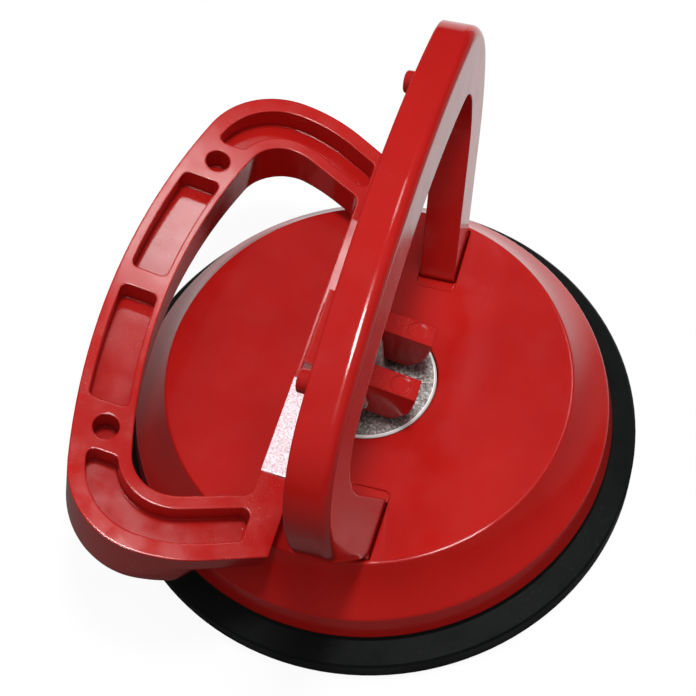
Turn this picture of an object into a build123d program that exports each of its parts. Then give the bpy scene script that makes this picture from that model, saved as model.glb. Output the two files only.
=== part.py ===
"""Floor tile suction lifter: one rubber cup, a domed housing, a fixed half handle and a cam lever.

Millimetres, +Z up. The origin is the centre of the rubber's sealing face. Y is the lever's hinge
axis; the open lever points towards -X and its closed position stands beside the fixed handle.
"""
import os
from math import asin, cos, degrees, radians, sin, tan

from build123d import *

# Rubber cup
cup_radius = 60.0
cup_edge_height = 5.6
cup_body_height = 8.8
cup_edge_chamfer = 0.5
cup_shelf_step = 1.3
cup_lip_width = 6.0
cup_groove_width = 3.0
cup_groove_depth = 0.8

# Housing
skirt_radius = 54.5
rim_radius = 53.2
rim_height = 15.5
rim_round = 1.0
ridge_radius = 44.85
ridge_height = 25.54
ridge_round = 0.5
dish_height = 24.16
cone_bulge = 0.45
shell_wall = 2.8
plate_seat_wall = 2.8
guide_radius = 9.0
guide_length = 4.2
rib_count = 12
rib_width = 1.8
rib_height = 4.5
rib_inner_radius = 24.0

# Wear plate under the lever's cams
wear_radius = 15.14
wear_thickness = 2.0
wear_chamfer = 0.35
wear_gap = 0.36

# Core plate and stud
core_radius = 20.0
core_thickness = 3.0
core_rise = 0.2
soft_gap = 0.3
stud_radius = 4.0
stud_above_pin = 8.2
stud_gap = 0.3
stud_chamfer = 0.8

# Hinge pin and its retaining clip
pin_height = 31.1
pin_radius = 2.5
pin_head_radius = 3.4
pin_head_thickness = 1.0
pin_head_round = 0.4
pin_gap = 0.05
pin_side_gap = 0.2
pin_tail = 0.7
clip_radius = 3.6
clip_thickness = 0.8

# Lever
lever_tilt = 15.0
close_angle = 78.0
lever_face = 0.73
leg_depth = 7.5
grip_depth = 13.5
grip_start = 18.0
grip_full = 42.0
lever_under_round = 2.4
crossbar_inner = 13.4
crossbar_foot = 6.2
bridge_half = 32.6
bridge_gap = 0.6
bridge_slope = 5.0
hub_back = 12.6
prong_outer = 9.31
prong_length = 12.2
prong_top = 7.65
stud_side_gap = 0.25
stud_slot_end = 10.0
cam_gap = 0.1
cam_heel_angle = 38.0
cam_middle_angle = 60.0
cam_toe_angle = 80.0
ejector_radius = 2.15
ejector_depth = 0.15
ejector_place = 8.2

# D outlines of the half handles: the grip's outside and the finger window
grip_half = 58.0
grip_apex = 57.0
grip_widest = 32.5
grip_corner = 19.0
side_wall = 13.4
grip_wall = 11.8
window_widest = 31.0
window_corner = 8.6
lever_bend = 36.7
lever_lean = 23.7
lever_window_bend = 12.0
lever_window_lean = 22.0
window_foot_round = 2.5

# Recesses in the mating faces
pocket_depth = 5.5
corner_lip = 3.6
corner_inner_lip = 2.8
corner_pocket_foot = 12.3
hole_pad_outer = 5.3
hole_pad_inner = 5.4
grip_lip = 2.2
grip_inner_lip = 1.5
centre_rib_half = 2.3
pocket_round = 1.6

# Locating pegs and their holes
peg_inset = 23.0
peg_drop = 10.9
peg_radius = 2.3
peg_length = 3.3
peg_round = 0.6
hole_radius = 2.75
hole_depth = 6.0

# Fixed half handle
fixed_face = 4.3
fixed_thickness = 7.95
fixed_bend = 51.0
fixed_lean = 25.2
fixed_window_bend = 29.4
fixed_window_lean = 24.5
fixed_edge_round = 2.2
foot_inner = 28.4
foot_outer = 42.0
foot_root = 1.0
foot_depth = 8.2

# Slots and sockets for the fixed handle's feet
slot_gap = 0.4
slot_inner_gap = 2.6
slot_ridge_gap = 0.8
slot_corner = 1.5
socket_wall = 2.4
socket_floor = 2.8
screw_radius = 1.9
screw_gap = 0.15
screw_head_radius = 3.6
screw_head_height = 2.4
screw_grip = 7.0

# Finger window, pegs and recess ends follow the grip's outline
window_half = grip_half - side_wall
window_apex = grip_apex - grip_wall
peg_u = grip_half - peg_inset
peg_v = grip_apex - peg_drop
corner_pocket_end = peg_u + hole_pad_outer
grip_pocket_end = peg_u - hole_pad_inner

# Lever's own plane: u along the hinge axis, v towards the grip, w out of the mating face
tilt_sin, tilt_cos = sin(radians(lever_tilt)), cos(radians(lever_tilt))
lever_plane = Plane(origin=(0, 0, pin_height), x_dir=(0, 1, 0), z_dir=(tilt_sin, 0, tilt_cos))
lever_side = Plane(origin=(0, 0, pin_height), x_dir=(-tilt_cos, 0, tilt_sin), z_dir=(0, 1, 0))

# The stud rises until the prongs' ends stand on the wear plate
past_upright = radians(lever_tilt + close_angle - 90)
closed_reach = prong_length * cos(past_upright) + prong_top * sin(past_upright)
rest_reach = pin_height - dish_height - cam_gap
lift = closed_reach - rest_reach
closed_pin = pin_height + lift
cam_pitch = lift / radians(close_angle)

# Fixed handle's plane: u along the hinge axis, v up from the closed pin, w towards the lever
fixed_plane = Plane(origin=(fixed_face, 0, closed_pin), x_dir=(0, -1, 0), z_dir=(-1, 0, 0))
peg_height = peg_v * cos(past_upright) - lever_face * sin(past_upright)
foot_top = dish_height + foot_root
foot_bottom = foot_top - foot_depth
foot_middle = (foot_inner + foot_outer) / 2
fixed_middle = fixed_face + fixed_thickness / 2
socket_bottom = foot_bottom - socket_floor
core_top = cup_body_height + core_rise
plate_seat = dish_height - wear_thickness
guide_bore = stud_radius + stud_gap
prong_inner = stud_radius + stud_side_gap
bridge_foot = clip_radius + bridge_gap
span = 2 * (grip_half + grip_apex)


def handle_face(half, apex, widest, corner, bend, lean, foot, inset=0.0):
    """D outline moved inwards by the inset: leaning legs, two shoulders and a bowed top."""
    half, apex, corner, bend = half - inset, apex - inset, corner - inset, bend - inset
    rise = apex - widest
    crown = ((half - corner) ** 2 + rise**2 - corner**2) / (2 * (rise - corner))
    crown_turn = degrees(asin((half - corner) / (crown - corner)))
    knee_u = half - bend * (1 - cos(radians(lean)))
    knee_v = widest - bend * sin(radians(lean))
    ankle_u = knee_u - (knee_v - foot) * tan(radians(lean))
    with BuildSketch(mode=Mode.PRIVATE) as outline:
        with BuildLine():
            leg = Line((ankle_u, foot), (knee_u, knee_v))
            side = JernArc(leg @ 1, leg % 1, bend, lean)
            shoulder = JernArc(side @ 1, side % 1, corner, 90 - crown_turn)
            top = JernArc(shoulder @ 1, shoulder % 1, crown, 2 * crown_turn)
            far_shoulder = JernArc(top @ 1, top % 1, corner, 90 - crown_turn)
            far_side = JernArc(far_shoulder @ 1, far_shoulder % 1, bend, lean)
            far_leg = Line(far_side @ 1, (-ankle_u, foot))
            Line(far_leg @ 1, leg @ 0)
        make_face()
    return outline.sketch_local


def lever_outside(foot, inset=0.0):
    return handle_face(
        grip_half, grip_apex, grip_widest, grip_corner, lever_bend, lever_lean, foot, inset
    )


def lever_window(foot, inset=0.0):
    return handle_face(
        window_half, window_apex, window_widest, window_corner,
        lever_window_bend, lever_window_lean, foot, inset,
    )


def corner_pockets():
    """Recesses round both shoulders, from the leg's end to the peg's pad."""
    with BuildSketch(mode=Mode.PRIVATE) as pockets:
        add(lever_outside(corner_pocket_foot, corner_lip))
        add(lever_window(corner_pocket_foot, -corner_inner_lip), mode=Mode.SUBTRACT)
        Rectangle(2 * corner_pocket_end, span, mode=Mode.SUBTRACT)
        ends = pockets.vertices().group_by(Axis.Y)[0] + pockets.vertices().filter_by(
            lambda v: abs(abs(v.X) - corner_pocket_end) < corner_pocket_end / 1000
        )
        fillet(ends, pocket_round)
    return pockets.sketch_local


def grip_pockets():
    """Two recesses along the grip, parted by a rib in the middle."""
    with BuildSketch(mode=Mode.PRIVATE) as pockets:
        add(lever_outside(corner_pocket_foot, grip_lip))
        add(lever_window(corner_pocket_foot, -grip_inner_lip), mode=Mode.SUBTRACT)
        Rectangle(2 * grip_pocket_end, span, mode=Mode.INTERSECT)
        Rectangle(2 * centre_rib_half, span, mode=Mode.SUBTRACT)
        fillet(pockets.vertices(), pocket_round)
    return pockets.sketch_local


pocket_faces = [corner_pockets(), grip_pockets()]
lever_outer_face = lever_outside(crossbar_foot)
with BuildSketch() as window_foot:
    add(lever_window(crossbar_inner))
    fillet(window_foot.vertices().group_by(Axis.Y)[0], window_foot_round)
lever_window_face = window_foot.sketch_local
leg_foot = foot_top - closed_pin
fixed_outer_face = handle_face(
    grip_half, grip_apex, grip_widest, grip_corner, fixed_bend, fixed_lean, leg_foot
)
fixed_window_face = handle_face(
    window_half, window_apex, window_widest, window_corner,
    fixed_window_bend, fixed_window_lean, leg_foot,
)


def cam_point(angle):
    """Lowest point of the prong, in v and w, when the lever stands at this angle to the floor."""
    turn = radians(angle)
    reach = rest_reach + cam_pitch * (turn - radians(lever_tilt))
    return (
        -reach * sin(turn) - cam_pitch * cos(turn),
        -reach * cos(turn) + cam_pitch * sin(turn),
    )


# Rubber cup: flat sealing face with a relief groove behind the lip, and a seat for the core plate
with BuildPart() as rubber_cup:
    with BuildSketch(Plane.XZ):
        with BuildLine():
            groove_outer = cup_radius - cup_lip_width
            groove_inner = groove_outer - cup_groove_width
            body_radius = skirt_radius - soft_gap
            core_seat = core_radius + soft_gap
            seat_height = core_top - core_thickness - soft_gap
            Polyline(
                (0, 0),
                (groove_inner, 0),
                (groove_inner + cup_groove_depth, cup_groove_depth),
                (groove_outer - cup_groove_depth, cup_groove_depth),
                (groove_outer, 0),
                (cup_radius - cup_edge_chamfer, 0),
                (cup_radius, cup_edge_chamfer),
                (cup_radius, cup_edge_height - cup_edge_chamfer),
                (cup_radius - cup_edge_chamfer, cup_edge_height),
                (skirt_radius + soft_gap, cup_body_height - cup_shelf_step),
                (body_radius, cup_body_height),
                (core_seat, cup_body_height),
                (core_seat, seat_height),
                (0, seat_height),
                close=True,
            )
        make_face()
    revolve(axis=Axis.Z)
rubber_cup.part.label = "rubber_cup"

# Core plate that lifts the middle of the cup
with BuildPart() as core_plate:
    with BuildSketch(Plane.XY.offset(core_top)):
        Circle(core_radius)
    extrude(amount=-core_thickness)
    chamfer(core_plate.edges().group_by(Axis.Z)[-1], wear_chamfer)
core_plate.part.label = "core_plate"

# Space inside the housing, less the ribs and the sockets round the feet
with BuildPart() as cavity:
    with BuildSketch(Plane.XZ):
        with BuildLine():
            fall = (ridge_height - rim_height) / (rim_radius - ridge_radius)
            ceiling = dish_height - shell_wall
            cone_inner = rim_radius - shell_wall * (1 + 1 / fall) / 2
            cone_top = cone_inner - (ceiling - rim_height + shell_wall / 2) / fall
            Polyline(
                (skirt_radius - shell_wall, cup_body_height),
                (cone_inner, rim_height - shell_wall / 2),
                (cone_top, ceiling),
                (wear_radius + wear_gap + shell_wall, ceiling),
                (wear_radius + wear_gap + shell_wall, plate_seat - plate_seat_wall),
                (guide_radius, plate_seat - plate_seat_wall),
                (guide_radius, plate_seat - plate_seat_wall - guide_length),
                (0, plate_seat - plate_seat_wall - guide_length),
                (0, cup_body_height),
                close=True,
            )
        make_face()
    revolve(axis=Axis.Z)
    with BuildSketch(Plane.XY.offset(ceiling - rib_height)):
        with PolarLocations((rib_inner_radius + skirt_radius) / 2, rib_count):
            Rectangle(skirt_radius - rib_inner_radius, rib_width)
    extrude(amount=rib_height + shell_wall, mode=Mode.SUBTRACT)
    with BuildSketch(Plane.XY.offset(socket_bottom)):
        with Locations((fixed_middle, foot_middle), (fixed_middle, -foot_middle)):
            Rectangle(
                fixed_thickness + 2 * (slot_gap + socket_wall),
                foot_outer - foot_inner + 2 * (slot_inner_gap + socket_wall),
            )
    extrude(until=Until.LAST, mode=Mode.SUBTRACT)

# Housing: skirt, cone, ridge and shallow dish, with the plate's seat, guide and two slots
with BuildPart() as housing:
    with BuildSketch(Plane.XZ) as shell:
        with BuildLine():
            seat_radius = wear_radius + wear_gap
            dish = TangentArc((seat_radius, dish_height), (ridge_radius, ridge_height), tangent=(1, 0))
            cone = SagittaArc(dish @ 1, (rim_radius, rim_height), -cone_bulge)
            Polyline(
                cone @ 1,
                (skirt_radius, cup_body_height),
                (guide_bore, cup_body_height),
                (guide_bore, plate_seat),
                (seat_radius, plate_seat),
                dish @ 0,
            )
        make_face()
        fillet(shell.vertices().sort_by(Axis.Y)[-1], ridge_round)
        fillet(shell.vertices().sort_by_distance((rim_radius, rim_height))[0], rim_round)
    revolve(axis=Axis.Z)
    add(cavity.part, mode=Mode.SUBTRACT)
    with BuildSketch(Plane.XY.offset(ridge_height)) as slots:
        with Locations((fixed_middle, foot_middle), (fixed_middle, -foot_middle)):
            Rectangle(
                fixed_thickness + 2 * slot_gap, foot_outer - foot_inner + 2 * slot_inner_gap
            )
        Circle(ridge_radius - slot_ridge_gap, mode=Mode.INTERSECT)
        fillet(slots.vertices().filter_by(lambda v: abs(v.Y) < foot_inner), slot_corner)
    extrude(amount=foot_bottom - ridge_height, mode=Mode.SUBTRACT)
    with BuildSketch(Plane.XY.offset(socket_bottom)):
        with Locations((fixed_middle, foot_middle), (fixed_middle, -foot_middle)):
            Circle(screw_radius + screw_gap)
    extrude(amount=socket_floor, mode=Mode.SUBTRACT)
housing.part.label = "housing"

# Wear plate with a bright rim
with BuildPart() as wear_plate:
    with BuildSketch(Plane.XY.offset(plate_seat)):
        Circle(wear_radius)
        Circle(guide_bore, mode=Mode.SUBTRACT)
    extrude(amount=wear_thickness)
    chamfer(wear_plate.edges().group_by(Axis.Z)[-1].sort_by(SortBy.RADIUS)[-1], wear_chamfer)
wear_plate.part.label = "wear_plate"

# Stud from the core plate up between the prongs, drilled across for the pin
with BuildPart() as centre_stud:
    with BuildSketch(Plane.XY.offset(core_top)):
        Circle(stud_radius)
    extrude(amount=pin_height + stud_above_pin - core_top)
    chamfer(centre_stud.edges().group_by(Axis.Z)[-1], stud_chamfer)
    with BuildSketch(Plane.XZ) as cross_hole:
        with Locations((0, pin_height)):
            Circle(pin_radius)
    extrude(amount=stud_radius, both=True, mode=Mode.SUBTRACT)
centre_stud.part.label = "centre_stud"

# Hinge pin: shank with one flat head
pin_seat = prong_outer + pin_side_gap
with BuildPart() as hinge_pin:
    with BuildSketch(Plane.XZ.offset(pin_seat)):
        with Locations((0, pin_height)):
            Circle(pin_head_radius)
    extrude(amount=pin_head_thickness)
    fillet(hinge_pin.edges().group_by(Axis.Y)[0], pin_head_round)
    with BuildSketch(Plane.XZ.offset(pin_seat)):
        with Locations((0, pin_height)):
            Circle(pin_radius)
    extrude(amount=-(2 * pin_seat + clip_thickness + pin_tail))
    chamfer(hinge_pin.edges().group_by(Axis.Y)[-1], pin_head_round)
hinge_pin.part.label = "hinge_pin"

# Retaining clip on the pin's far end
with BuildPart() as pin_clip:
    with BuildSketch(Plane.XZ.offset(-pin_seat)):
        with Locations((0, pin_height)):
            Circle(clip_radius)
            Circle(pin_radius, mode=Mode.SUBTRACT)
    extrude(amount=-clip_thickness)
pin_clip.part.label = "pin_clip"

# Lever: D handle with a deep grip, crossbar, and a forked cam round the stud
with BuildPart() as lever_handle:
    with BuildSketch(lever_plane.offset(lever_face)):
        add(lever_outer_face)
    extrude(amount=-grip_depth)
    with BuildSketch(lever_side):
        with BuildLine():
            leg_under = lever_face - leg_depth
            grip_under = lever_face - grip_depth
            flat = Line((0, leg_under), (grip_start, leg_under))
            swell = Spline(
                flat @ 1, (grip_full, grip_under), tangents=[(1, 0), (1, 0)]
            )
            Polyline(swell @ 1, (grip_apex + grip_start, grip_under),
                     (grip_apex + grip_start, grip_under - grip_depth),
                     (0, grip_under - grip_depth), flat @ 0)
        make_face()
    extrude(amount=grip_half, both=True, mode=Mode.SUBTRACT)
    underside = lever_handle.faces().filter_by(
        lambda f: f.normal_at().dot(lever_plane.z_dir) < -0.5
    )
    seams = [e for f in underside for e in f.edges()]
    rims = [e for e in seams if sum(e.is_same(o) for o in seams) == 1]
    foot_plane = Plane(lever_plane.from_local_coords((0, crossbar_foot, 0)),
                       z_dir=lever_plane.y_dir)
    fillet(
        [e for e in rims if abs(foot_plane.to_local_coords(e.center()).Z) > 0.1],
        lever_under_round,
    )
    with BuildSketch(lever_plane.offset(lever_face)):
        add(lever_window_face)
    extrude(amount=-grip_depth, mode=Mode.SUBTRACT)
    with BuildSketch(lever_side):
        with BuildLine():
            bridge_rise = (crossbar_inner - bridge_foot) * tan(radians(bridge_slope))
            Polyline(
                (crossbar_inner, leg_under),
                (crossbar_inner, lever_face),
                (bridge_foot, lever_face + bridge_rise),
                (bridge_foot, leg_under),
                close=True,
            )
        make_face()
    extrude(amount=bridge_half, both=True)
    with BuildSketch(lever_side):
        with BuildLine():
            heel, toe = cam_point(cam_heel_angle), cam_point(cam_toe_angle)
            lobe = ThreePointArc(heel, cam_point(cam_middle_angle), toe)
            Polyline(
                lobe @ 1,
                (-prong_length, prong_top),
                (hub_back, prong_top),
                (hub_back, leg_under),
                (bridge_foot, leg_under),
                (bridge_foot, heel[1]),
                lobe @ 0,
            )
        make_face()
    extrude(amount=prong_outer, both=True)
    with BuildSketch(lever_side):
        with Locations(((stud_slot_end - span) / 2, 0)):
            Rectangle(span + stud_slot_end, span)
    extrude(amount=prong_inner, both=True, mode=Mode.SUBTRACT)
    with BuildSketch(lever_side):
        Circle(pin_radius + pin_gap)
    extrude(amount=prong_outer, both=True, mode=Mode.SUBTRACT)
    with BuildSketch(lever_plane.offset(lever_face)):
        add(pocket_faces)
    extrude(amount=-pocket_depth, mode=Mode.SUBTRACT)
    with BuildSketch(lever_plane.offset(lever_face)):
        with Locations((peg_u, peg_v), (-peg_u, peg_v)):
            Circle(hole_radius)
    extrude(amount=-hole_depth, mode=Mode.SUBTRACT)
    with BuildSketch(lever_plane.offset(prong_top)):
        prong_middle = (prong_inner + prong_outer) / 2
        with Locations((prong_middle, -ejector_place), (-prong_middle, -ejector_place)):
            Circle(ejector_radius)
    extrude(amount=-ejector_depth, mode=Mode.SUBTRACT)
lever_handle.part.label = "lever_handle"

# Fixed half handle: the same D on two legs that stand in the housing's slots
with BuildPart() as fixed_handle:
    with BuildSketch(fixed_plane):
        add(fixed_outer_face)
    extrude(amount=-fixed_thickness)
    back = fixed_handle.faces().sort_by(Axis.X)[-1]
    fillet(back.edges().sort_by(Axis.Z)[1:], fixed_edge_round)
    with BuildSketch(fixed_plane):
        add(fixed_window_face)
    extrude(amount=-fixed_thickness, mode=Mode.SUBTRACT)
    with BuildSketch(fixed_plane):
        add(pocket_faces)
    extrude(amount=-pocket_depth, mode=Mode.SUBTRACT)
    with BuildSketch(Plane.XY.offset(foot_top)):
        with Locations((fixed_middle, foot_middle), (fixed_middle, -foot_middle)):
            Rectangle(fixed_thickness, foot_outer - foot_inner)
    extrude(amount=-foot_depth)
    with BuildSketch(Plane.XY.offset(foot_bottom)):
        with Locations((fixed_middle, foot_middle), (fixed_middle, -foot_middle)):
            Circle(screw_radius)
    extrude(amount=screw_grip, mode=Mode.SUBTRACT)
    with BuildSketch(fixed_plane):
        with Locations((peg_u, peg_height), (-peg_u, peg_height)):
            Circle(peg_radius)
    extrude(amount=peg_length)
    fillet(fixed_handle.faces().group_by(Axis.X)[0].edges(), peg_round)
fixed_handle.part.label = "fixed_handle"

# Screws up into the fixed handle's feet
with BuildPart() as foot_screws:
    with BuildSketch(Plane.XY.offset(socket_bottom)):
        with Locations((fixed_middle, foot_middle), (fixed_middle, -foot_middle)):
            Circle(screw_head_radius)
    extrude(amount=-screw_head_height)
    with BuildSketch(Plane.XY.offset(socket_bottom)):
        with Locations((fixed_middle, foot_middle), (fixed_middle, -foot_middle)):
            Circle(screw_radius)
    extrude(amount=socket_floor + screw_grip)
foot_screws.part.label = "foot_screws"

os.makedirs("parts", exist_ok=True)
for piece in (rubber_cup, core_plate, housing, wear_plate, centre_stud, hinge_pin, pin_clip,
              lever_handle, fixed_handle, foot_screws):
    export_step(piece.part, f"parts/{piece.part.label}.step")
print(f"lift {lift:.3f} mm over {close_angle:g} degrees, closed pin at {closed_pin:.3f} mm")
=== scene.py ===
from math import cos, pi, radians, sin

import bmesh
import bpy
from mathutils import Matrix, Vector


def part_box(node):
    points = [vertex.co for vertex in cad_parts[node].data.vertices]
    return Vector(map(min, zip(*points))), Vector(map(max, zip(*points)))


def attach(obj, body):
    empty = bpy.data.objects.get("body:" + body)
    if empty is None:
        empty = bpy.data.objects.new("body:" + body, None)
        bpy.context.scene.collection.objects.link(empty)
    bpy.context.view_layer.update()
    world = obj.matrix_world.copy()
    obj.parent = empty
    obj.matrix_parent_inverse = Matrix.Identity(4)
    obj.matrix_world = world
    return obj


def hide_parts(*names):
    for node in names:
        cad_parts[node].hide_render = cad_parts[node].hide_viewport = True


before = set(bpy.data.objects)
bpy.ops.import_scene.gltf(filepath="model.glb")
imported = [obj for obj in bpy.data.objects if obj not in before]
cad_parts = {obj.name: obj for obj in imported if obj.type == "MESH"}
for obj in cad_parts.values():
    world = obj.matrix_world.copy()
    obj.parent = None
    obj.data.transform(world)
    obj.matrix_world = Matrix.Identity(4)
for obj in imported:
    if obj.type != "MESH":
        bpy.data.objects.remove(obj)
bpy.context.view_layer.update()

# Camera at the photograph's angle: metres, degrees, and millimetres of lens and sensor
CAMERA_PLACE = (0.0611, -0.1521, 0.3092)
CAMERA_TURN = (30.85, 3.92, 16.58)
CAMERA_LENS = 77.2
CAMERA_SENSOR = 36.0

# The lever at rest, in metres. On its own tilted axes, reach runs from the hinge pin to the
# grip, and depth runs down from the pin's level
PIN = Vector((0, 0, 0.0311))
LEVER_TILT = radians(15)
LEVER_BACK = Vector((cos(LEVER_TILT), 0, -sin(LEVER_TILT)))
LEVER_UP = Vector((sin(LEVER_TILT), 0, cos(LEVER_TILT)))

# Depth of the legs' underside, and a depth just below the recesses and peg holes, which stay
# as they are in the solid
LEG_DEPTH = 0.0068
KEPT_DEPTH = 0.0056

# The grip's underside is deeper than the legs'. The solid and the shell differ in where that
# swell starts, where it is full, and how deep it is
SOLID_START, SOLID_END, SOLID_SWELL = 0.0180, 0.0420, 0.0060
SHELL_START, SHELL_END, SHELL_SWELL = 0.0175, 0.0235, 0.0128
SWELL_CUTS = 20

# The shell is as deep as that only at the grip's outline, which is close to a superellipse.
# Inside it, between two shares of the outline's size, it rises back to the solid's depth
GRIP_HALF = 0.058
GRIP_APEX = 0.057
GRIP_POWER = 4
RIM_INSIDE, RIM_OUTSIDE = 0.84, 0.96
GRID_STEP = 0.0012

# Distances in metres within which the shell's corners count as one, as on a cut, or as past
# the swell's start
MERGE_WITHIN = 2e-6
CUT_WITHIN = 1e-6
START_SLACK = 1e-5

# The stud's thread, in metres, with its rings per pitch and corners per ring
THREAD_START = 0.0225
THREAD_PITCH = 0.00125
THREAD_DEPTH = 0.00045
THREAD_RINGS = 8
THREAD_SIDES = 40
STUD_CHAMFER = 2 * THREAD_DEPTH

# Edges that are sharper than this stay sharp
SHELL_SHARP = radians(25)
THREAD_SHARP = radians(40)

# Floors at the inner ends of the housing's two slots, in metres, with Y as a distance from
# the middle
SLOT_X = (0.00395, 0.01260)
SLOT_Y = (0.02585, 0.02830)
SLOT_Z = (0.02000, 0.02425)

# Bounds of a painted glare on top of the crossbar's front half, in metres
GLARE_X = (-0.0150, 0.0030)
GLARE_Y = (-0.0326, -0.0099)
# Radius outside which the wear plate's rim carries a painted highlight, in metres
PLATE_HIGHLIGHT_RADIUS = 0.0145

# Half the width of the studio's floor, and its level, in metres
FLOOR_HALF = 4.0
FLOOR_LEVEL = -0.0002

# Colours are linear
WHITE = (1, 1, 1, 1)
RED_DEEP = (0.400, 0.0075, 0.0060, 1)
RED_BRIGHT = (0.470, 0.0110, 0.0085, 1)
RED_DUST = (0.640, 0.230, 0.190, 1)
# A near-white painted reflection: the glare on the crossbar's top
GLARE_WHITE = (0.960, 0.860, 0.910, 1)
RUBBER_BLACK = (0.0035, 0.0045, 0.0042, 1)
RUBBER_WORN = (0.0400, 0.0400, 0.0310, 1)
ZINC_LIGHT = (0.640, 0.630, 0.600, 1)
ZINC_DARK = (0.160, 0.135, 0.130, 1)
# A painted highlight on the wear plate's rim
RIM_HIGHLIGHT = (0.950, 0.940, 0.920, 1)
FLOOR_SEEN = (0.95, 0.95, 0.95, 1)
FLOOR_LIT = (0.75, 0.75, 0.75, 1)
# Painted shade on the floor, seen only by rays other than the camera's
FLOOR_PAINTED_SHADE = (0.10, 0.10, 0.10, 1)


class Graph:
    """A node tree, with a short method for each kind of node that it often needs."""

    def __init__(self, tree):
        self.nodes, self.links = tree.nodes, tree.links
        self.place = self.nodes.new("ShaderNodeTexCoord").outputs

    def split(self, vector):
        parts = self.nodes.new("ShaderNodeSeparateXYZ")
        self.links.new(vector, parts.inputs["Vector"])
        return parts.outputs

    def noise(self, scale, detail, roughness=0.55, stretch=None):
        """Noise in metres: a scale of 1000 gives features about a millimetre wide."""
        place = self.place["Object"]
        if stretch:
            mapping = self.nodes.new("ShaderNodeMapping")
            mapping.inputs["Scale"].default_value = stretch
            self.links.new(place, mapping.inputs["Vector"])
            place = mapping.outputs["Vector"]
        texture = self.nodes.new("ShaderNodeTexNoise")
        texture.inputs["Scale"].default_value = scale
        texture.inputs["Detail"].default_value = detail
        texture.inputs["Roughness"].default_value = roughness
        self.links.new(place, texture.inputs["Vector"])
        return texture.outputs["Fac"]

    def ramp(self, value, low=0.0, high=1.0, to_min=0.0, to_max=1.0):
        """Spreads a value between two limits and clamps it."""
        spread = self.nodes.new("ShaderNodeMapRange")
        spread.inputs["From Min"].default_value = low
        spread.inputs["From Max"].default_value = high
        spread.inputs["To Min"].default_value = to_min
        spread.inputs["To Max"].default_value = to_max
        self.links.new(value, spread.inputs["Value"])
        return spread.outputs["Result"]

    def within(self, value, limits, soft):
        """One where a value lies between two limits, with soft edges."""
        low, high = limits
        rise = self.ramp(value, low - soft, low + soft)
        fall = self.ramp(value, high - soft, high + soft, to_min=1.0, to_max=0.0)
        return self.multiply(rise, fall)

    def multiply(self, a, b):
        product = self.nodes.new("ShaderNodeMath")
        product.operation = "MULTIPLY"
        self.links.new(a, product.inputs[0])
        self.links.new(b, product.inputs[1])
        return product.outputs["Value"]

    def mix(self, factor, a, b):
        """Mixes two colours, each a constant or another node's output."""
        blend = self.nodes.new("ShaderNodeMix")
        blend.data_type = "RGBA"
        self.links.new(factor, blend.inputs["Factor"])
        for value, socket in ((a, blend.inputs["A"]), (b, blend.inputs["B"])):
            if isinstance(value, tuple):
                socket.default_value = value
            else:
                self.links.new(value, socket)
        return blend.outputs["Result"]

    def mix_shaders(self, factor, a, b):
        joined = self.nodes.new("ShaderNodeMixShader")
        self.links.new(factor, joined.inputs["Fac"])
        self.links.new(a, joined.inputs[1])
        self.links.new(b, joined.inputs[2])
        return joined.outputs["Shader"]

    def bump(self, height, strength, distance, under=None):
        raised = self.nodes.new("ShaderNodeBump")
        raised.inputs["Strength"].default_value = strength
        raised.inputs["Distance"].default_value = distance
        self.links.new(height, raised.inputs["Height"])
        if under:
            self.links.new(under, raised.inputs["Normal"])
        return raised.outputs["Normal"]


def new_material(name):
    """A material with its graph and its shader's inputs."""
    material = bpy.data.materials.new(name)
    material.use_nodes = True
    graph = Graph(material.node_tree)
    return material, graph, graph.nodes["Principled BSDF"].inputs


def painted_glare_mask(graph):
    """One on top of the front half of the lever's crossbar, where the painted glare goes."""
    place, facing = graph.split(graph.place["Object"]), graph.split(graph.place["Normal"])
    across = graph.within(place["Y"], GLARE_Y, soft=0.0001)
    along = graph.within(place["X"], GLARE_X, soft=0.0002)
    upper = graph.ramp(facing["Z"], low=0.80, high=0.90)
    return graph.multiply(graph.multiply(across, along), upper)


# With its glare switch set, the plastic also carries a speckled painted reflection on the
# crossbar's top
def red_plastic(name, dust, painted_glare=False):
    """Glossy moulded plastic with slow colour drift, faint waviness and pale rubbed specks."""
    material, graph, shader = new_material(name)
    drift = graph.ramp(graph.noise(scale=28, detail=2), low=0.35, high=0.65)
    specks = graph.ramp(graph.noise(scale=2600, detail=3), low=0.56, high=0.72)
    patches = graph.ramp(graph.noise(scale=95, detail=3), low=0.50, high=0.75, to_max=dust)
    rubbed = graph.multiply(specks, patches)
    colour = graph.mix(drift, RED_DEEP, RED_BRIGHT)
    colour = graph.mix(rubbed, colour, RED_DUST)
    # A speckled, near-white painted reflection of a light on top of the crossbar's front half
    if painted_glare:
        glare_grain = graph.ramp(graph.noise(scale=2300, detail=2), low=0.35, high=0.60, to_min=0.55)
        glare_share = graph.multiply(painted_glare_mask(graph), glare_grain)
        colour = graph.mix(glare_share, colour, GLARE_WHITE)
    graph.links.new(colour, shader["Base Color"])
    gloss = graph.ramp(graph.noise(scale=160, detail=4), low=0.3, high=0.7,
                       to_min=0.09, to_max=0.18)
    graph.links.new(gloss, shader["Roughness"])
    shader["IOR"].default_value = 1.5
    edges = graph.nodes.new("ShaderNodeBevel")
    edges.samples = 6
    edges.inputs["Radius"].default_value = 0.0006
    waves = graph.bump(graph.noise(scale=110, detail=2), strength=0.05, distance=0.0005,
                       under=edges.outputs["Normal"])
    relief = graph.bump(rubbed, strength=0.015, distance=0.00003, under=waves)
    graph.links.new(relief, shader["Normal"])
    return material


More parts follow.
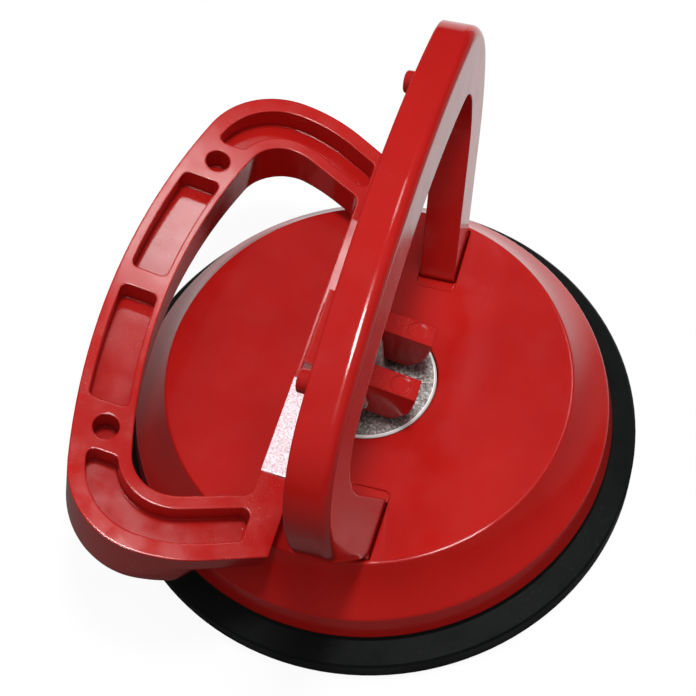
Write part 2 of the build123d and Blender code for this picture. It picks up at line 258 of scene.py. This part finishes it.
def black_rubber(name):
    """Satin rubber with dusty, scuffed patches and a fine grain."""
    material, graph, shader = new_material(name)
    scratches = graph.noise(scale=700, detail=5, roughness=0.7, stretch=(1, 1, 3))
    scuffs = graph.ramp(scratches, low=0.58, high=0.72)
    worn = graph.ramp(graph.noise(scale=42, detail=4), low=0.46, high=0.66, to_max=0.6)
    colour = graph.mix(graph.multiply(scuffs, worn), RUBBER_BLACK, RUBBER_WORN)
    graph.links.new(colour, shader["Base Color"])
    sheen = graph.ramp(graph.noise(scale=120, detail=4), low=0.3, high=0.7,
                       to_min=0.36, to_max=0.55)
    graph.links.new(sheen, shader["Roughness"])
    shader["Specular IOR Level"].default_value = 0.22
    grain = graph.bump(graph.noise(scale=3200, detail=3), strength=0.12, distance=0.0001)
    graph.links.new(grain, shader["Normal"])
    return material


def zinc_steel(name, roughness, speckle, highlight_radius=None):
    """Plated steel with a speckled frosting. Outside a given radius it is an even painted
    highlight.
    """
    material, graph, shader = new_material(name)
    crystals = graph.nodes.new("ShaderNodeTexVoronoi")
    crystals.inputs["Scale"].default_value = 2200
    graph.links.new(graph.place["Object"], crystals.inputs["Vector"])
    cells = graph.ramp(crystals.outputs["Distance"], low=0.1, high=0.6)
    clouds = graph.ramp(graph.noise(scale=1500, detail=4), low=0.35, high=0.65)
    mottle = graph.multiply(cells, clouds)
    colour = graph.mix(graph.ramp(mottle, to_min=1 - speckle), ZINC_DARK, ZINC_LIGHT)
    shader["Metallic"].default_value = 0.75
    # Outside the radius the colour is a painted highlight, bright and less metallic
    if highlight_radius:
        flat = graph.nodes.new("ShaderNodeVectorMath")
        flat.operation = "MULTIPLY"
        flat.inputs[1].default_value = (1, 1, 0)
        graph.links.new(graph.place["Object"], flat.inputs[0])
        radius = graph.nodes.new("ShaderNodeVectorMath")
        radius.operation = "LENGTH"
        graph.links.new(flat.outputs["Vector"], radius.inputs[0])
        highlight_share = graph.ramp(radius.outputs["Value"], low=highlight_radius, high=highlight_radius + 0.0001)
        colour = graph.mix(highlight_share, colour, RIM_HIGHLIGHT)
        graph.links.new(graph.ramp(highlight_share, to_min=0.75, to_max=0.25), shader["Metallic"])
    graph.links.new(colour, shader["Base Color"])
    matt = graph.ramp(clouds, to_min=roughness, to_max=roughness + 0.14)
    graph.links.new(matt, shader["Roughness"])
    relief = graph.bump(mottle, strength=0.25 * speckle, distance=0.00006)
    graph.links.new(relief, shader["Normal"])
    return material


def stained_steel(name):
    """Plated steel with darker stains."""
    material, graph, shader = new_material(name)
    stain = graph.ramp(graph.noise(scale=900, detail=3), low=0.4, high=0.7, to_max=0.7)
    graph.links.new(graph.mix(stain, ZINC_LIGHT, ZINC_DARK), shader["Base Color"])
    shader["Metallic"].default_value = 0.75
    shader["Roughness"].default_value = 0.30
    graph.links.new(graph.bump(stain, strength=0.10, distance=0.00005), shader["Normal"])
    return material


moulded = red_plastic("moulded_red", dust=0.10)
handled_and_glare = red_plastic("handled_red_and_glare", dust=0.38, painted_glare=True)
rubber = black_rubber("cup_rubber")
bright_zinc = zinc_steel("bright_zinc", roughness=0.22, speckle=0.35)
frosted_zinc_and_rim_highlight = zinc_steel("frosted_zinc_and_rim_highlight", roughness=0.30, speckle=1.0, highlight_radius=PLATE_HIGHLIGHT_RADIUS)
thread = stained_steel("thread_zinc")

finishes = {
    "rubber_cup": rubber,
    "core_plate": bright_zinc,
    "housing": moulded,
    "wear_plate": frosted_zinc_and_rim_highlight,
    "centre_stud": thread,
    "hinge_pin": bright_zinc,
    "pin_clip": bright_zinc,
    "lever_handle": handled_and_glare,
    "fixed_handle": moulded,
    "foot_screws": bright_zinc,
}
for node, finish in finishes.items():
    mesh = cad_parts[node].data
    mesh.materials.clear()
    mesh.materials.append(finish)


def add_object(name, data):
    thing = bpy.data.objects.new(name, data)
    bpy.context.scene.collection.objects.link(thing)
    return thing


def smooth_step(value, low, high):
    """From 0 at one limit to 1 at the other, level at both."""
    share = min(max((value - low) / (high - low), 0.0), 1.0)
    return share * share * (3 - 2 * share)


def lever_place(point):
    """A point's reach and depth on the lever."""
    return (PIN - point).dot(LEVER_BACK), (PIN - point).dot(LEVER_UP)


def drop(point):
    """How far a point of the solid lever goes down to lie on the shell."""
    reach, depth = lever_place(point)
    if depth <= KEPT_DEPTH or reach <= SOLID_START:
        return 0.0
    old = LEG_DEPTH + SOLID_SWELL * smooth_step(reach, SOLID_START, SOLID_END)
    new = LEG_DEPTH + SHELL_SWELL * smooth_step(reach, SHELL_START, SHELL_END)
    share = (depth - KEPT_DEPTH) / (old - KEPT_DEPTH)
    across, along = abs(point.y) / GRIP_HALF, reach / GRIP_APEX
    outward = (across ** GRIP_POWER + along ** GRIP_POWER) ** (1 / GRIP_POWER)
    return share * smooth_step(outward, RIM_INSIDE, RIM_OUTSIDE) * (new - old)


def cut(body, parts, point, normal):
    """Cuts parts of a mesh with a plane and gives back the parts with the new ones."""
    return bmesh.ops.bisect_plane(body, geom=parts, dist=CUT_WITHIN,
                                  plane_co=point, plane_no=normal)["geom"]


def underside(body):
    """The faces below the grip, with their corners and edges."""
    faces = []
    for face in body.faces:
        places = [lever_place(corner.co) for corner in face.verts]
        if all(reach > SHELL_START - START_SLACK and depth > KEPT_DEPTH
               for reach, depth in places):
            faces.append(face)
    corners = dict.fromkeys(corner for face in faces for corner in face.verts)
    edges = dict.fromkeys(edge for face in faces for edge in face.edges)
    return list(corners) + list(edges) + faces


def cut_grid(body):
    """Cuts the lever across its swell, then its underside into a grid fine enough to slope."""
    parts = body.verts[:] + body.edges[:] + body.faces[:]
    for row in range(SWELL_CUTS + 1):
        reach = SHELL_START + (SHELL_END - SHELL_START) * row / SWELL_CUTS
        parts = cut(body, parts, PIN - LEVER_BACK * reach, LEVER_BACK)
    parts = underside(body)
    first, last = int(SHELL_END / GRID_STEP) + 1, int(GRIP_APEX / GRID_STEP)
    for row in range(first, last + 1):
        parts = cut(body, parts, PIN - LEVER_BACK * row * GRID_STEP, LEVER_BACK)
    for row in range(-last, last + 1):
        parts = cut(body, parts, Vector((0, row * GRID_STEP, 0)), Vector((0, 1, 0)))


def deepen_grip():
    """The lever with its grip's underside sloping down to a deeper outer edge."""
    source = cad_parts["lever_handle"]
    piece = add_object("lever_shell", source.data.copy())
    piece.matrix_world = source.matrix_world
    body = bmesh.new()
    body.from_mesh(piece.data)
    bmesh.ops.remove_doubles(body, verts=body.verts, dist=MERGE_WITHIN)
    cut_grid(body)
    for corner in body.verts:
        corner.co -= LEVER_UP * drop(corner.co)
    body.to_mesh(piece.data)
    body.free()
    # Normals that came with the solid no longer fit
    if "custom_normal" in piece.data.attributes:
        piece.data.attributes.remove(piece.data.attributes["custom_normal"])
    piece.data.shade_smooth()
    piece.data.set_sharp_from_angle(angle=SHELL_SHARP)
    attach(piece, "lever")
    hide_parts("lever_handle")


deepen_grip()


def thread_radius(height, side, radius, top):
    """The threaded stud's radius at a height and at one of its sides."""
    groove = 0.0
    if height > THREAD_START:
        phase = (height / THREAD_PITCH - side / THREAD_SIDES) % 1.0
        groove = THREAD_DEPTH * (1 - abs(2 * phase - 1))
    return min(radius - groove, radius - STUD_CHAMFER + (top - height))


def threaded_stud():
    """The stud with a cut thread above the dish and a chamfered end."""
    low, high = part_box("centre_stud")
    radius, top = (high[0] - low[0]) / 2, high[2]
    steps = round((top - THREAD_START) / THREAD_PITCH * THREAD_RINGS)
    heights = [THREAD_START + (top - THREAD_START) * step / steps for step in range(steps + 1)]
    solid, rings = bmesh.new(), []
    for height in [low[2]] + heights:
        ring = []
        for side in range(THREAD_SIDES):
            reach = thread_radius(height, side, radius, top)
            angle = 2 * pi * side / THREAD_SIDES
            ring.append(solid.verts.new((reach * cos(angle), reach * sin(angle), height)))
        rings.append(ring)
    for below, above in zip(rings, rings[1:]):
        for side in range(THREAD_SIDES):
            following = (side + 1) % THREAD_SIDES
            solid.faces.new((below[side], below[following], above[following], above[side]))
    solid.faces.new(rings[0][::-1])
    solid.faces.new(rings[-1])
    mesh = bpy.data.meshes.new("threaded_stud")
    solid.to_mesh(mesh)
    solid.free()
    piece = add_object("threaded_stud", mesh)
    mesh.materials.append(thread)
    mesh.shade_smooth()
    mesh.set_sharp_from_angle(angle=THREAD_SHARP)
    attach(piece, "stud")
    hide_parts("centre_stud")


threaded_stud()


def block(name, low, high):
    """A box between two corners."""
    mesh = bpy.data.meshes.new(name)
    solid = bmesh.new()
    bmesh.ops.create_cube(solid, size=1)
    for corner in solid.verts:
        corner.co = [a + (b - a) * (c + 0.5) for a, b, c in zip(low, high, corner.co)]
    solid.to_mesh(mesh)
    solid.free()
    return add_object(name, mesh)


def slot_floor(name, side):
    """The shallow floor between a foot of the fixed handle and the inner end of its slot."""
    near, far = sorted(side * distance for distance in SLOT_Y)
    piece = block(name, (SLOT_X[0], near, SLOT_Z[0]), (SLOT_X[1], far, SLOT_Z[1]))
    piece.data.materials.append(moulded)
    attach(piece, "body")


for name, side in (("front_slot_floor", -1), ("rear_slot_floor", 1)):
    slot_floor(name, side)


def area_light(name, spot, target, size, power):
    """A square white lamp at a spot, turned to face the target."""
    lamp = bpy.data.lights.new(name, "AREA")
    lamp.size, lamp.energy = size, power
    holder = add_object(name, lamp)
    holder.location = spot
    aim = Vector(target) - Vector(spot)
    holder.rotation_euler = aim.to_track_quat("-Z", "Y").to_euler()


area_light("key", spot=(0.12, 0.10, 0.95), target=(0, 0, 0.03), size=0.14, power=5.0)
area_light("sheen", spot=(0.055, 0.43, 0.74), target=(-0.05, 0, 0.03), size=0.11, power=0.36)


def studio_world():
    """Pale light that fades towards the horizon, dim in reflections and white to the camera."""
    world = bpy.data.worlds.new("studio")
    world.use_nodes = True
    graph = Graph(world.node_tree)
    path = graph.nodes.new("ShaderNodeLightPath").outputs
    lit, seen = graph.nodes["Background"], graph.nodes.new("ShaderNodeBackground")
    lit.inputs["Color"].default_value = WHITE
    seen.inputs["Color"].default_value = WHITE
    seen.inputs["Strength"].default_value = 1.0
    height = graph.split(graph.place["Generated"])["Z"]
    sky = graph.ramp(height, to_min=0.08, to_max=0.90)
    dimmed = graph.ramp(path["Is Glossy Ray"], to_min=1.0, to_max=0.16)
    graph.links.new(graph.multiply(sky, dimmed), lit.inputs["Strength"])
    both = graph.mix_shaders(path["Is Camera Ray"], lit.outputs["Background"],
                             seen.outputs["Background"])
    graph.links.new(both, graph.nodes["World Output"].inputs["Surface"])
    bpy.context.scene.world = world


studio_world()


def floor_finish():
    """Matt, nearly white to the camera, open from below, and dimmer with painted shade to other
    rays.
    """
    material, graph, shader = new_material("pale_floor")
    shader["Roughness"].default_value = 0.9
    shader["Specular IOR Level"].default_value = 0.0
    camera_ray = graph.nodes.new("ShaderNodeLightPath").outputs["Is Camera Ray"]
    place = graph.split(graph.place["Object"])
    # Painted shade for other rays: a painted shadow in front of the lever and darker to the
    # right, lit behind
    lit_behind = graph.ramp(place["Y"], low=-0.02, high=0.06)
    shaded_right = graph.ramp(place["X"], low=0.06, high=0.10, to_min=1.0, to_max=0.15)
    painted_shade_floor = graph.mix(graph.multiply(lit_behind, shaded_right), FLOOR_PAINTED_SHADE, FLOOR_LIT)
    graph.links.new(graph.mix(camera_ray, painted_shade_floor, FLOOR_SEEN), shader["Base Color"])
    matt = graph.nodes["Principled BSDF"].outputs["BSDF"]
    glow = graph.nodes.new("ShaderNodeEmission")
    glow.inputs["Strength"].default_value = 1.0
    share = graph.ramp(camera_ray, to_max=0.93)
    above = graph.mix_shaders(share, matt, glow.outputs["Emission"])
    open_below = graph.nodes.new("ShaderNodeBsdfTransparent").outputs["BSDF"]
    from_below = graph.nodes.new("ShaderNodeNewGeometry").outputs["Backfacing"]
    graph.links.new(graph.mix_shaders(from_below, above, open_below),
                    graph.nodes["Material Output"].inputs["Surface"])
    return material


def pale_floor():
    """A wide level floor that keeps a soft shadow."""
    corners = [(-1, -1), (1, -1), (1, 1), (-1, 1)]
    mesh = bpy.data.meshes.new("floor")
    mesh.from_pydata([(x * FLOOR_HALF, y * FLOOR_HALF, FLOOR_LEVEL) for x, y in corners],
                     [], [(0, 1, 2, 3)])
    floor = add_object("floor", mesh)
    mesh.materials.append(floor_finish())


pale_floor()

camera = add_object("camera", bpy.data.cameras.new("camera"))
camera.location = CAMERA_PLACE
camera.rotation_euler = [radians(angle) for angle in CAMERA_TURN]
camera.data.lens = CAMERA_LENS
camera.data.sensor_width = CAMERA_SENSOR
bpy.context.scene.camera = camera
bpy.context.scene.view_settings.view_transform = "Standard"
